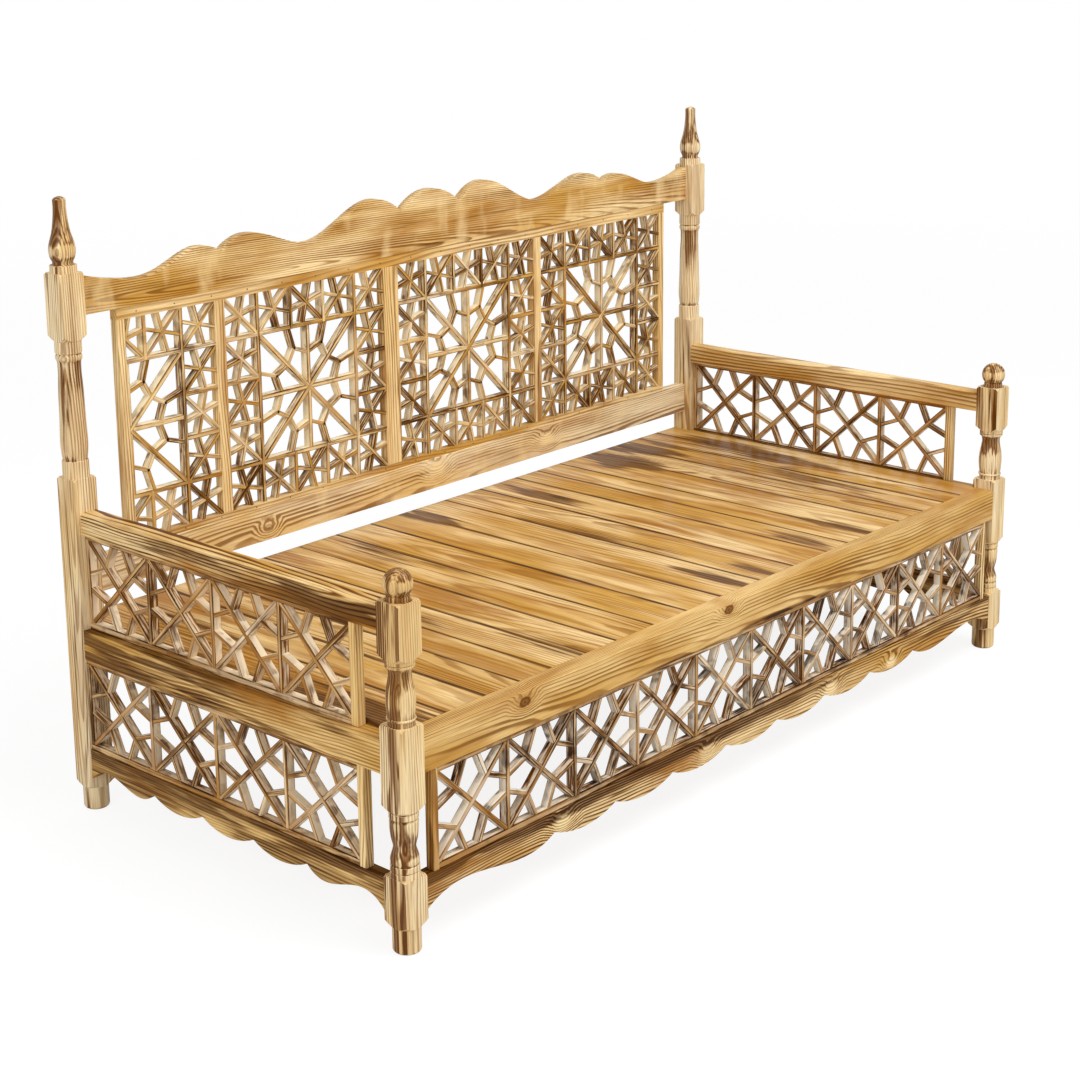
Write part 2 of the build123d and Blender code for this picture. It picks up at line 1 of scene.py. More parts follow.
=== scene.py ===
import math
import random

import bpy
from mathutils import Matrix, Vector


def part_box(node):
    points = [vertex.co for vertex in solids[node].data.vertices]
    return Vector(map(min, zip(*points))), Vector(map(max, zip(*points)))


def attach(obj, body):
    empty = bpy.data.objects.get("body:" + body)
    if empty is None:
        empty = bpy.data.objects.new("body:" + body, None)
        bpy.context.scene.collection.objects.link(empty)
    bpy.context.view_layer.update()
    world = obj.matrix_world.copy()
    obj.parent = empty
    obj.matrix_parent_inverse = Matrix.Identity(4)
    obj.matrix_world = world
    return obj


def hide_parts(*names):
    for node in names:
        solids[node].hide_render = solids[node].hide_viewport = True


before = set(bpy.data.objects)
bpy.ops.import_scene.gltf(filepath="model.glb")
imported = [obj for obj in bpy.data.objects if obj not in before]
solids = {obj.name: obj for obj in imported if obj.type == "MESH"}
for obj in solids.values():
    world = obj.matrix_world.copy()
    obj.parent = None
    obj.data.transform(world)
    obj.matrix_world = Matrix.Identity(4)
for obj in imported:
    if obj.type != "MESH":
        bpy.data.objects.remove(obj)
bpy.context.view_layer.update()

# %% [markdown]
# A takht is a wide day bench of pine. Its frame, deck and boards come from the solid
# model and keep their shapes. What they lack is what the maker's hands and torch did:
# the lattices are really hundreds of strips, every board has its own grain, the wood is
# scorched and brushed until its hard rings stand dark, and clear lacquer lies over it.

# %% [markdown]
# The camera looks at the left front corner from a little above the crest. A camera can
# be aimed with a constraint or with a matrix. The matrix says it in three turns that
# are easy to read: the way it faces, how far it dips and how far it tilts. A small
# shift keeps the posts nearly upright, as an architect's lens does.

# %% Camera
camera_place = Vector((-3.403, -2.894, 1.859))
camera_faces = math.radians(46.15)
camera_dips = math.radians(13.20)
camera_tilts = math.radians(-1.15)
sensor_width = 36.0
focal_in_widths = 1.9106

ahead = Vector(
    (
        math.sin(camera_faces) * math.cos(camera_dips),
        math.cos(camera_faces) * math.cos(camera_dips),
        -math.sin(camera_dips),
    )
)
level_right = Vector((math.cos(camera_faces), -math.sin(camera_faces), 0))
level_up = level_right.cross(ahead)
right = math.cos(camera_tilts) * level_right + math.sin(camera_tilts) * level_up
up = math.cos(camera_tilts) * level_up - math.sin(camera_tilts) * level_right
turned = Matrix((right, up, -ahead)).transposed().to_4x4()

lens = bpy.data.cameras.new("camera")
lens.sensor_width = sensor_width
lens.lens = focal_in_widths * sensor_width
lens.shift_x = 0.08
lens.shift_y = -0.15
camera = bpy.data.objects.new("camera", lens)
camera.matrix_world = Matrix.Translation(camera_place) @ turned
bpy.context.collection.objects.link(camera)
bpy.context.scene.camera = camera
bpy.context.scene.view_settings.view_transform = "Standard"
print("camera at", tuple(camera_place), "with a", round(lens.lens, 1), "mm lens")

# %% [markdown]
# Shaders are easier to read as sums than as boxes and wires. A Shade stands for one
# output of a node, and adding or multiplying Shades adds the nodes that do it. Numbers
# go through Math nodes. Vector Math is taken as soon as one side is a place in space.

# %% Shade, one output of a node
X, Y, Z = 0, 1, 2


class Shade:
    def __init__(self, finish, socket):
        self.finish = finish
        self.socket = socket

    def joined(self, operation, first, second):
        shades = [side for side in (first, second) if isinstance(side, Shade)]
        vectors = any(shade.socket.type == "VECTOR" for shade in shades)
        kind = "ShaderNodeVectorMath" if vectors else "ShaderNodeMath"
        return self.finish.node(kind, {"operation": operation}, {0: first, 1: second})

    def __add__(self, other):
        return self.joined("ADD", self, other)

    def __radd__(self, other):
        return self.joined("ADD", other, self)

    def __sub__(self, other):
        return self.joined("SUBTRACT", self, other)

    def __rsub__(self, other):
        return self.joined("SUBTRACT", other, self)

    def __mul__(self, other):
        return self.joined("MULTIPLY", self, other)

    def __rmul__(self, other):
        return self.joined("MULTIPLY", other, self)

    def part(self, axis):
        return self.finish.node("ShaderNodeSeparateXYZ", {}, {0: self}, axis)

    def length(self):
        settings = {"operation": "LENGTH"}
        return self.finish.node("ShaderNodeVectorMath", settings, {0: self}, "Value")

    def wrapped(self):
        return self.finish.node("ShaderNodeMath", {"operation": "FRACT"}, {0: self})

    def size(self):
        return self.finish.node("ShaderNodeMath", {"operation": "ABSOLUTE"}, {0: self})

    def rising(self, low, high, top=1.0):
        """Smooth step from 0 below low to top above high."""
        settings = {"interpolation_type": "SMOOTHSTEP"}
        stops = {0: self, 1: low, 2: high, 4: top}
        return self.finish.node("ShaderNodeMapRange", settings, stops)


print("a Shade can be added, taken away and multiplied")

# %% [markdown]
# A Finish is the node tree of one material, or of the air round the bench. All its nodes
# come from one method, which takes a node's type, its settings and the values or Shades
# of its sockets. The methods after it only save repeating the most used nodes.

# %% Finish, one tree of nodes


class Finish:
    def __init__(self, name, library="materials"):
        self.owner = getattr(bpy.data, library).new(name)
        self.owner.use_nodes = True
        self.tree = self.owner.node_tree
        self.tree.nodes.clear()

    def node(self, kind, settings, inputs, output=0):
        made = self.tree.nodes.new(kind)
        for key, value in settings.items():
            setattr(made, key, value)
        for key, value in inputs.items():
            if isinstance(value, Shade):
                self.tree.links.new(value.socket, made.inputs[key])
            else:
                made.inputs[key].default_value = value
        return Shade(self, made.outputs[output]) if made.outputs else None

    def mix(self, share, first, second):
        """Colour between two, by a share from 0 to 1."""
        inputs = {0: share, 6: first, 7: second}
        return self.node("ShaderNodeMix", {"data_type": "RGBA"}, inputs, 2)

    def noise(self, place, stretch, detail=2.0, output=0):
        """Noise with so many turns a metre along each of the wood's three directions."""
        inputs = {"Vector": place * stretch, "Scale": 1.0, "Detail": detail}
        return self.node("ShaderNodeTexNoise", {}, inputs, output)

    def surface(self, **inputs):
        sockets = {key.replace("_", " "): value for key, value in inputs.items()}
        shader = self.node("ShaderNodeBsdfPrincipled", {}, sockets)
        self.node("ShaderNodeOutputMaterial", {}, {0: shader})
        return self.owner


print("a Finish can hold a material")

# %% [markdown]
# Torched pine runs from blond through honey, amber and toast to char. Each board could
# have colours of its own, but the boards of one bench share their wood and one flame.
# So the colours are named once, and every recipe picks from them.

# %% Colours of torched pine
BLOND = (0.98, 0.75, 0.39, 1)
PALE = (0.86, 0.59, 0.24, 1)
HONEY = (0.65, 0.37, 0.085, 1)
AMBER = (0.42, 0.165, 0.014, 1)
TOAST = (0.21, 0.074, 0.006, 1)
SUMMER = (0.125, 0.038, 0.002, 1)
CHAR = (0.024, 0.007, 0.001, 1)
SMOKE = (0.040, 0.020, 0.012, 1)
ASH = (0.98, 0.89, 0.73, 1)
print("pine runs from", BLOND[:3], "to", CHAR[:3])

# %% [markdown]
# Pine darkens from the soft pale wood of spring to a hard dark line of summer, once a
# year, in rings about the heart of the tree. A board shows straight lines or pointed
# arches only because of where it was cut from that tree. So the grain isn't drawn as
# stripes. Each piece is given its place in a trunk, and the distance to the heart tells
# how far along its year the wood is. Arches, ovals on the turned parts and end grain
# then come by themselves, on every side of the piece. A knot pushes the rings aside.

# %% Rings and knots
# Turns of noise a metre, along the grain and then twice across it
BENDS = (1.3, 4.5, 4.5)
FRAYS = (9.0, 70.0, 70.0)
BANDS = (1.6, 28.0, 28.0)
KNOT_BARK = (90.0, 90.0, 90.0)
# How ragged a knot's edge is, in its radii, and how many years it pushes the rings aside
RAGGED, YEARS_PUSHED = 0.7, 3.5


def knot_gap(place, knot):
    """Distance from a knot's middle, in its own radii, with a slightly ragged edge."""
    centre, radius, stretch, _ = knot
    apart = ((place - centre) * tuple(share / radius for share in stretch)).length()
    return apart + place.finish.noise(place, KNOT_BARK) * RAGGED - RAGGED / 2


def ring_lines(place, wood):
    """How dark the year's line is, from 0 to 1, where X runs along the grain."""
    finish = place.finish
    strayed = place + wood["luck"]
    bend = {0: finish.noise(strayed, BENDS, 2.0, "Color"), 1: (0.5, 0.5, 0.5)}
    bend = finish.node("ShaderNodeVectorMath", {"operation": "SUBTRACT"}, bend)
    trunk = place + bend * (0.0, wood["waver"], wood["waver"])
    sideways = trunk.part(X) * wood["lean"]
    across = trunk.part(Y) + sideways + wood["heart"][0]
    deep = trunk.part(Z) + sideways * 0.5 + wood["heart"][1]
    from_heart = finish.node("ShaderNodeCombineXYZ", {}, {Y: across, Z: deep}).length()
    years = from_heart * (1 / wood["year"]) + finish.noise(strayed, FRAYS) * 0.5
    for knot in wood["knots"]:
        years = years + (1 - knot_gap(place, knot).rising(0.3, 4.2)) * YEARS_PUSHED
    season = years.wrapped()
    late = finish.noise(strayed, BANDS) * 1.1 - 0.25
    return season.rising(late, late + 0.45) * (1 - season.rising(0.86, 1.0)) * (1.15 - late)


print("noise of", BENDS, "turns a metre bends the rings, and", FRAYS, "frays them")

# %% [markdown]
# A knot is where a branch left the trunk. A dark knot is brown with a darker rim of
# bark, and amber spreads round it. Of a fair knot only a bright spot shows, which is a
# painted highlight. A knot could be a dark spot by itself, but then the rings wouldn't
# bend round it. So it's coloured where the rings were pushed aside already, and its
# distances are told in its own radii.

# %% Knots


def knotted(place, wood, colour, lines):
    """Dark knots are brown with a darker rim, and fair ones get a painted highlight."""
    finish = place.finish
    for knot in wood["knots"]:
        gap, dark = knot_gap(place, knot), knot[3]
        inside = (1 - gap.rising(0.6, 1.0)) * dark * 0.85
        heart = (1 - gap.rising(0.05, 0.45)) * dark * 0.8
        rim = (1 - (gap - 0.9).size().rising(0.05, 0.4)) * dark * 0.9
        # A fair knot's bright spot is a painted highlight
        fair = (1 - gap.rising(0.5, 2.3)) * (1 - dark) * (1 - lines * 0.6)
        colour = finish.mix((1 - gap.rising(0.9, 2.6)) * 0.45 * dark, colour, AMBER)
        colour = finish.mix(fair, colour, BLOND)
        colour = finish.mix(heart, finish.mix(inside, colour, TOAST), SUMMER)
        colour = finish.mix(rim, colour, SUMMER)
    return colour


print("knots can be dark or fair")

# %% [markdown]
# The flame browns the wood in patches and chars it where it stayed. Brushing then takes
# the soft burnt wood away in streaks, so the brown is always broken along the grain. One
# colour could be laid over another, but scorched wood turns amber before it turns dark.
# So each step is a mix towards the next darker colour, with the year's lines on top.
# Noise keeps mostly between 0.3 and 0.7. The first two numbers of each rising say
# between which of its values a colour comes in, and the third how strong it gets.

# %% Scorch and brush
# Turns of noise a metre, along the grain and then twice across it
FIBRES = (14.0, 420.0, 420.0)
STREAKS = (4.0, 120.0, 120.0)
GLINTS = (13.0, 6.0, 6.0)
# The same for blotches, which some boards have narrower across the grain
CLOUD_ALONG, STAIN_ALONG, FLAME_ALONG = 2.2, 3.0, 1.9
CLOUD_ACROSS, BLOTCH_ACROSS = 9.0, 13.0
# Stain and flame are read elsewhere in the noise, so that they don't match
STAIN_APART, FLAME_APART = (7.3, 2.9, 5.1), (3.1, 1.7, 0.4)
LINE_RELIEF = 0.0008


def torched(place, wood, burn=0.0):
    """Colour, roughness and relief of scorched and brushed pine."""
    finish = place.finish
    strayed = place + wood["luck"]
    lines = ring_lines(place, wood)
    fibres = finish.noise(strayed, FIBRES, 3.0)
    wide, slim = CLOUD_ACROSS * wood["narrow"], BLOTCH_ACROSS * wood["narrow"]
    cloud = finish.noise(strayed, (CLOUD_ALONG, wide, wide), 3.0)
    stain = finish.noise(strayed + STAIN_APART, (STAIN_ALONG, slim, slim), 4.0)
    flame = finish.noise(strayed + FLAME_APART, (FLAME_ALONG, slim, slim), 4.0)
    streaks = finish.noise(strayed, STREAKS, 4.0)
    hot = 0.6 - 0.2 * wood["burn"]
    scorch = flame.rising(hot, hot + 0.13, min(1.0, 2.4 * wood["burn"])) + burn
    scorch = (scorch * 1.55 - streaks.rising(0.36, 0.62, 0.6)).rising(0.0, 1.0)
    colour = finish.mix(cloud.rising(0.38, 0.64), wood["light"], wood["body"])
    colour = finish.mix(stain.rising(0.46, 0.66, wood["stain"]), colour, AMBER)
    colour = finish.mix(fibres.rising(0.4, 0.75, 0.45), colour, AMBER)
    colour = finish.mix(streaks.rising(0.5, 0.74, 0.55) * wood["stain"], colour, TOAST)
    colour = finish.mix(scorch * (fibres * 0.4 + 0.6), colour, TOAST)
    line = (lines * (scorch * wood["deepened"] + wood["lines"])).rising(0.0, 1.0)
    colour = finish.mix(line.rising(0.0, 0.7, 0.6), colour, AMBER)
    colour = finish.mix(line * (line * 0.6 + 0.4), colour, SUMMER)
    burnt = scorch * scorch * (lines * 0.35 + fibres * 0.75)
    colour = finish.mix(burnt, colour, wood["char"])
    # Painted highlight: pale glints of reflected light, mixed in across the grain
    if wood["glints"]:
        brushed = finish.noise(strayed, GLINTS, 3.0).rising(0.52, 0.74, wood["glints"])
        colour = finish.mix(brushed, colour, BLOND)
    colour = knotted(place, wood, colour, lines)
    height = lines * 0.7 + fibres * 0.3
    relief = {"Strength": wood["relief"], "Distance": LINE_RELIEF, "Height": height}
    return colour, fibres * 0.16 + 0.34, finish.node("ShaderNodeBump", {}, relief)


print("rings stand up to", LINE_RELIEF * 1000, "mm above brushed wood")

# %% [markdown]
# Lacquer is a thin clear film. A glossy shader could be mixed over the wood, but the
# Principled shader has a coat of its own, which lets the wood show through and mirrors
# most at a slant. The wood under it has hardly any shine.

# %% Lacquer
FILM_ROUGHNESS, FILM_IOR = 0.12, 1.45
WOOD_SHINE = 0.03


def lacquered(colour, rough, normal, coat):
    """The surface under its coat of clear lacquer."""
    return colour.finish.surface(
        Base_Color=colour,
        Roughness=rough,
        Normal=normal,
        Coat_Weight=coat,
        Coat_Roughness=FILM_ROUGHNESS,
        Coat_IOR=FILM_IOR,
        Specular_IOR_Level=WOOD_SHINE,
    )


print("lacquer has an index of", FILM_IOR, "and a roughness of", FILM_ROUGHNESS)

# %% [markdown]
# One recipe serves the whole bench, and each piece differs in where it was cut and how
# long the flame stayed on it. The direction of the grain is the piece's longest side.
# The wood's place is measured from the middle of the piece, so that the numbers mean
# the same for a rail as for a post. Chance is seeded with the piece's own name, so each
# board keeps its face from one run to the next.

# %% A plain board, and how one piece differs
plain_board = {
    "light": PALE,  # its two ground colours, which drift into each other
    "body": HONEY,
    "char": CHAR,  # the colour where it was burnt hardest
    "year": 0.0075,  # width of a ring in metres
    "lines": 0.5,  # how dark the rings are, and how much more where it is scorched
    "deepened": 0.3,
    "glints": 0.0,  # painted highlights: pale glints of reflected light across the grain
    "narrow": 1.0,  # how much narrower its blotches are
    "burn": 0.25,  # how much of it was scorched, and how much stained
    "stain": 0.5,
    "coat": 0.1,
    "waver": 0.05,  # how much the rings waver, and how far they lean along it
    "lean": 0.03,
    "relief": 0.25,
    "knots": (),
}


def cut_of(name, differences):
    """A board's own numbers, with the heart of its tree somewhere behind it."""
    luck = random.Random(name)
    turn = luck.uniform(0.6, 2.5)
    reach = luck.uniform(0.035, 0.09)
    stray = tuple(luck.uniform(-5, 5) for _ in range(3))
    heart = (reach * math.cos(turn), reach * math.sin(turn))
    return {**plain_board, "luck": stray, "heart": heart, **differences}


print(len(plain_board), "numbers and colours make a plain board")

# %% [markdown]
# A piece could be unwrapped so that grain can be laid over it, but a wrapping has seams.
# Instead the finish asks where a point is. From that it finds its place in the wood and
# the heights that the flame touched, so one mark can run over several pieces.

# %% Dressing a solid piece
# Which of the world's axes runs along the grain, and which two run across it
LONG_X, LONG_Y, LONG_Z = (X, Y, Z), (Y, X, Z), (Z, X, Y)


def dress(name, order, burn_at=None, **differences):
    """Gives a solid piece its own cut of torched pine."""
    finish = Finish(name + "_pine")
    low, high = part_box(name)
    in_world = finish.node("ShaderNodeTexCoord", {}, {}, "Object")
    from_middle = in_world - tuple((low + high) / 2)
    ordered = [from_middle.part(axis) for axis in order]
    place = finish.node("ShaderNodeCombineXYZ", {}, dict(enumerate(ordered)))
    burn = burn_at(in_world) if burn_at else 0.0
    wood = cut_of(name, differences)
    solids[name].data.materials.clear()
    solids[name].data.materials.append(lacquered(*torched(place, wood, burn), wood["coat"]))


def near(place, axis, at, fade, strength=1.0):
    """Scorch that is strongest where a coordinate is at a value and fades within a span."""
    gap = (place.part(axis) - at).size()
    return (1 - gap.rising(0.0, fade)) * strength


def licks(place, stretch, low=0.42, high=0.62):
    """Tongues of flame, from 0 to 1."""
    return place.finish.noise(place, stretch, 3.0).rising(low, high)


print("grain can run along", ("X", LONG_X), ("Y", LONG_Y), ("Z", LONG_Z))

# %% [markdown]
# The posts are one stick each, so the rings of the square run on into the turned bulbs,
# where they open into ovals. Their left faces are streaked darker than their fronts,
# partly by scorch and partly as painted shade, and what the lathe had cut is toasted.
# Those places could be listed by height. Instead the way a face looks and its distance
# from the post's axis find them on all four posts.

# %% Posts
TURNED_RADIUS, SQUARE_RADIUS = 0.0245, 0.0275


def post_burn_and_left_shade(name, left_darkening):
    """Left faces streaked, partly scorch and partly painted shade; toast round turned parts.
    """
    low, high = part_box(name)
    middle = (low + high) / 2

    def burn_at(place):
        left = place.finish.node("ShaderNodeNewGeometry", {}, {}, "Normal").part(X) * -1.0
        tongues = licks(place, (60.0, 60.0, 4.0), 0.38, 0.58)
        off_axis = ((place - tuple(middle)) * (1.0, 1.0, 0.0)).length()
        lathed = 1 - off_axis.rising(TURNED_RADIUS, SQUARE_RADIUS)
        # Faces that face left get darker streaks: partly scorch, partly painted shade
        return left.rising(0.3, 0.95) * tongues * left_darkening + lathed * (tongues * 0.3 + 0.38)

    return burn_at


for side, heart in (("left", (0.021, 0.016)), ("right", (-0.018, 0.022))):
    for row, left_darkening in (("front", 0.75), ("rear", 0.35)):
        name = "post_" + row + "_" + side
        dress(
            name,
            LONG_Z,
            post_burn_and_left_shade(name, left_darkening),
            light=(0.96, 0.79, 0.49, 1),
            body=(0.90, 0.65, 0.30, 1),
            char=SUMMER,
            lines=0.5,
            deepened=0.75,
            burn=0.1,
            stain=0.3,
            coat=0.3,
            year=0.0055,
            waver=0.03,
            heart=heart,
        )
        print(name, "dressed")

# %% [markdown]
# The rails and boards are sawn flat. The skirts and end rails were burnt hardest along
# their upper edges, where the flame met the foot of the lattices, and the front rail
# along its lower edge. Chance alone would put those marks anywhere, so each board has a
# rule of its own, which ties the scorch to heights above the floor. In each rule, chance
# only breaks the edge of the mark into tongues.

# %% Where the flame touched the boards
FRONT_SKIRT_TOP, END_SKIRT_TOP = 0.146, 0.144
FRONT_RAIL_FOOT = 0.341
END_RAIL_FOOT, END_RAIL_TOP = 0.342, 0.404
ARM_OUTER_FACE = (1.034, 1.0375)


def burnt_skirt(place):
    left_half = 1 - place.part(X).rising(-0.2, 0.5, 0.75)
    edge = near(place, Z, FRONT_SKIRT_TOP, 0.04, 1.5) * left_half
    edge = edge * licks(place, (5.0, 5.0, 30.0), 0.22, 0.42)
    return edge + licks(place, (3.0, 3.0, 26.0), 0.5, 0.64) * 0.5


def burnt_front_rail(place):
    """A dark rim along the foot of the rail, where the flame came up through the lattice."""
    middle = 1 - (place.part(X) - 0.02).size().rising(0.1, 0.55)
    rim = near(place, Z, FRONT_RAIL_FOOT, 0.014, 1.5) * middle
    return rim * licks(place, (3.0, 3.0, 8.0), 0.3, 0.5)


def burnt_end_rail(place):
    rear = place.part(Y).rising(-0.3, 0.3, 0.65)
    edges = near(place, Z, END_RAIL_TOP, 0.05, 0.4) + near(place, Z, END_RAIL_FOOT, 0.03, 0.6)
    return (edges + rear) * licks(place, (3.0, 3.0, 38.0), 0.33, 0.55)


def burnt_end_skirt(place):
    patches = licks(place, (4.0, 4.0, 22.0), 0.36, 0.56) * 0.5 + 0.15
    edge = near(place, Z, END_SKIRT_TOP, 0.03, 0.6)
    return patches + edge * licks(place, (5.0, 5.0, 30.0), 0.3, 0.5)


def burnt_arm(place):
    outer = place.part(X).size().rising(*ARM_OUTER_FACE)
    front = 1 - place.part(Y).rising(-0.35, 0.1, 0.7)
    return outer * front * licks(place, (4.0, 4.0, 60.0), 0.32, 0.5)


def burnt_back(place):
    return licks(place, (2.5, 2.5, 40.0), 0.5, 0.64) * 0.35


print("each board has its scorch")

# %% [markdown]
# The front rail is plain pine with two dark knots. The back rail and the crest are
# paler, with painted highlights across them: pale glints of reflected light. Knots could
# be left to chance as the rings are, but they draw the eye, so their places are given. A
# place is one pair of numbers on the board's face, and the board's own box gives the rest.

# %% Rails and crest
# A knot is longer along the board than across it, and goes right through
FACE_KNOT = (0.6, 0.0, 1.0)


def knots_on(name, *spots):
    """Knots on the face of a board along X: place, radius and how dark they are."""
    low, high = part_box(name)
    middle = (low + high) / 2
    return tuple(
        ((x - middle.x, 0.0, z - middle.z), radius, FACE_KNOT, dark)
        for x, z, radius, dark in spots
    )


dress(
    "front_rail",
    LONG_X,
    burnt_front_rail,
    lines=0.65,
    burn=0.0,
    stain=0.5,
    year=0.0042,
    lean=0.012,
    waver=0.03,
    heart=(0.13, 0.05),
    knots=knots_on("front_rail", (-0.725, 0.394, 0.0085, 1), (-0.088, 0.402, 0.0085, 1)),
)
dress(
    "back_rail",
    LONG_X,
    burnt_back,
    light=(0.98, 0.82, 0.53, 1),
    body=PALE,
    lines=0.6,
    glints=0.45,
    burn=0.05,
    stain=0.4,
    year=0.005,
    lean=0.02,
    waver=0.025,
    knots=knots_on(
        "back_rail",
        (-0.52, 0.492, 0.008, 0.4),
        (0.02, 0.512, 0.011, 0),
        (0.42, 0.505, 0.010, 0),
    ),
)
dress(
    "crest_rail",
    LONG_X,
    burnt_back,
    light=BLOND,
    lines=0.65,
    glints=0.5,
    burn=0.05,
    stain=0.6,
    waver=0.03,
    year=0.0046,
)
for name in ("rear_rail", "front_ledger", "centre_bearer"):
    dress(name, LONG_X, lines=0.3, burn=0.05)
print("rails and crest dressed")

# %% [markdown]
# The skirts, the end rails and the left arm took more of the stain. The two boards of a
# pair could be copies of each other, but real boards never match. So the ends share
# their numbers, while their rings and blotches come from the name of each board. The
# arms share nothing: the left one is burnt on its outer face, and the right one is fair.

# %% Skirts, ends and arms
dress(
    "front_skirt",
    LONG_X,
    burnt_skirt,
    light=BLOND,
    lines=0.92,
    burn=0.15,
    stain=0.85,
    year=0.0045,
    lean=0.03,
    waver=0.035,
    knots=knots_on(
        "front_skirt",
        (-0.62, 0.112, 0.010, 0),
        (-0.16, 0.108, 0.009, 0.2),
        (0.3, 0.11, 0.010, 0),
        (0.55, 0.1, 0.009, 0),
    ),
)
end_rail = {"lines": 0.5, "burn": 0.15, "stain": 0.9, "year": 0.0065}
end_skirt = {"lines": 0.45, "burn": 0.2, "stain": 0.9, "year": 0.006, "waver": 0.08}
for side in ("left", "right"):
    dress("end_rail_" + side, LONG_Y, burnt_end_rail, **end_rail)
    dress("end_skirt_" + side, LONG_Y, burnt_end_skirt, **end_skirt)
left_arm = {"lines": 1.0, "burn": 0.25, "stain": 0.9, "year": 0.0055}
right_arm = {"lines": 0.6, "burn": 0.0, "stain": 0.35, "year": 0.009, "waver": 0.07}
dress("arm_rail_left", LONG_Y, burnt_arm, light=BLOND, **left_arm)
dress("arm_rail_right", LONG_Y, light=BLOND, **right_arm)
print("skirts, ends and arms dressed")

# %% [markdown]
# The uprights of the screen and the stiles beside the lattices are planed strips, golden
# all round. They are solids like the rails, so they get the same recipe with narrow
# rings. The pins that hold the screen are steel: a metal's colour is its mirror's, so
# they are grey, and noise gives them rusty spots that are also duller.

# %% Uprights, stiles and pins
upright = {"lines": 0.6, "burn": 0.2, "stain": 0.6, "year": 0.006}
for name in solids:
    if name.startswith(("screen_stile", "screen_mullion")) or "lattice_stile" in name:
        dress(name, LONG_Z, light=BLOND, body=PALE, **upright)
for name in ("screen_sill", "screen_head"):
    dress(name, LONG_X, light=BLOND, lines=0.5, burn=0.25)

STEEL, RUST = (0.20, 0.16, 0.12, 1), (0.09, 0.05, 0.03, 1)
RUST_SPOTS = (700.0, 700.0, 700.0)
steel = Finish("pin_steel")
spots = steel.noise(steel.node("ShaderNodeTexCoord", {}, {}, "Object"), RUST_SPOTS)
solids["screen_pins"].data.materials.clear()
solids["screen_pins"].data.materials.append(
    steel.surface(
        Base_Color=steel.mix(spots.rising(0.4, 0.6), STEEL, RUST),
        Metallic=0.8,
        Roughness=spots * 0.3 + 0.3,
    )
)
print("screen members and pins dressed")

# %% [markdown]
# The deck got the torch most freely: some boards are honey, some brown, and smoky
# patches run along the grain, darkest at the ends of a few boards. Every board has dark
# edges, because char stayed in the joints when the deck was brushed. Each board could
# have its own patches, but the flame crossed from board to board. So the patches are
# listed once for the whole deck, and each board takes those that reach it.

# %% Where the flame touched the deck
# Middle along the bench, middle across it, half width, half length and strength
smoky_patches = (
    (-0.99, -0.30, 0.09, 0.42, 0.75),
    (-0.50, -0.36, 0.05, 0.17, 0.45),
    (-0.56, 0.10, 0.05, 0.30, 0.55),
    (-0.30, 0.28, 0.06, 0.22, 0.5),
    (-0.05, 0.40, 0.05, 0.12, 1.0),
    (0.03, -0.37, 0.05, 0.14, 0.8),
    (0.13, -0.40, 0.03, 0.12, 0.95),
    (0.10, 0.06, 0.04, 0.3, 0.55),
    (0.26, 0.33, 0.05, 0.16, 0.75),
    (0.38, -0.36, 0.04, 0.12, 0.6),
    (0.51, -0.38, 0.03, 0.18, 0.85),
    (0.62, 0.38, 0.09, 0.14, 0.9),
    (0.76, 0.40, 0.08, 0.12, 0.8),
    (0.80, -0.10, 0.05, 0.22, 0.35),
    (0.92, 0.20, 0.06, 0.30, 0.4),
    (0.78, 0.05, 0.34, 0.55, 0.28),
    (-0.85, 0.25, 0.25, 0.30, 0.35),
)
PATCH_STRENGTH = 1.3
RIPPLE = (34.0, 3.5, 3.5)
SEAM_WIDTH, SEAM_DARKEST = 0.0065, 0.001


def deck_burn(low, high):
    """Scorch of one deck board: the patches that cross it and its dark edges."""
    middle, half = (low.x + high.x) / 2, (high.x - low.x) / 2
    crossing = [patch for patch in smoky_patches if abs(patch[0] - middle) < half + patch[2]]

    def burn_at(place):
        ripple = place.finish.noise(place, RIPPLE, 5.0) - 0.5
        aside = (place.part(X) - middle).size() + ripple * 0.008
        seam = aside.rising(half - SEAM_WIDTH, half - SEAM_DARKEST)
        burn = seam * (ripple * 1.6 + 1.3)
        for x, y, wide, long, strength in crossing:
            apart = ((place - (x, y, 0.0)) * (1 / wide, 1 / long, 0.0)).length() + ripple * 2.2
            burn = burn + (1 - apart.rising(0.1, 1.15)) * (strength * PATCH_STRENGTH)
        return burn

    return burn_at


print(len(smoky_patches), "smoky patches on the deck")

# %% [markdown]
# What is left to a board's own chance is how far it drank the stain, how wide its rings
# are and how far they lean. A few kinds of board could be repeated, but on a deck in full
# view one sees that at once. The draws are seeded with the board's number, so that the
# deck stays the same from one run to the next.

# %% Deck boards
deck_boards = sorted(name for name in solids if name.startswith("deck_plank"))
for number, name in enumerate(deck_boards):
    luck = random.Random(number)
    dress(
        name,
        LONG_Y,
        deck_burn(*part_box(name)),
        light=(0.93, 0.67, 0.32, 1),
        lines=luck.uniform(0.35, 0.6),
        narrow=1.5,
        burn=luck.uniform(0.0, 0.15),
        stain=luck.uniform(0.5, 0.95),
        year=luck.uniform(0.006, 0.012),
        lean=luck.uniform(0.02, 0.08),
        char=SMOKE,
        coat=0.14,
        relief=0.15,
    )
print(len(deck_boards), "deck boards dressed")

# %% [markdown]
# A strip of a lattice is sawn square and then sanded, more in front than behind. A bevel
# could round its corners, but would also round the ends that run into other strips. So
# the rounding is part of the outline that is drawn out to a strip.

# %% Outline of a strip
EASED_EDGE = 0.0017


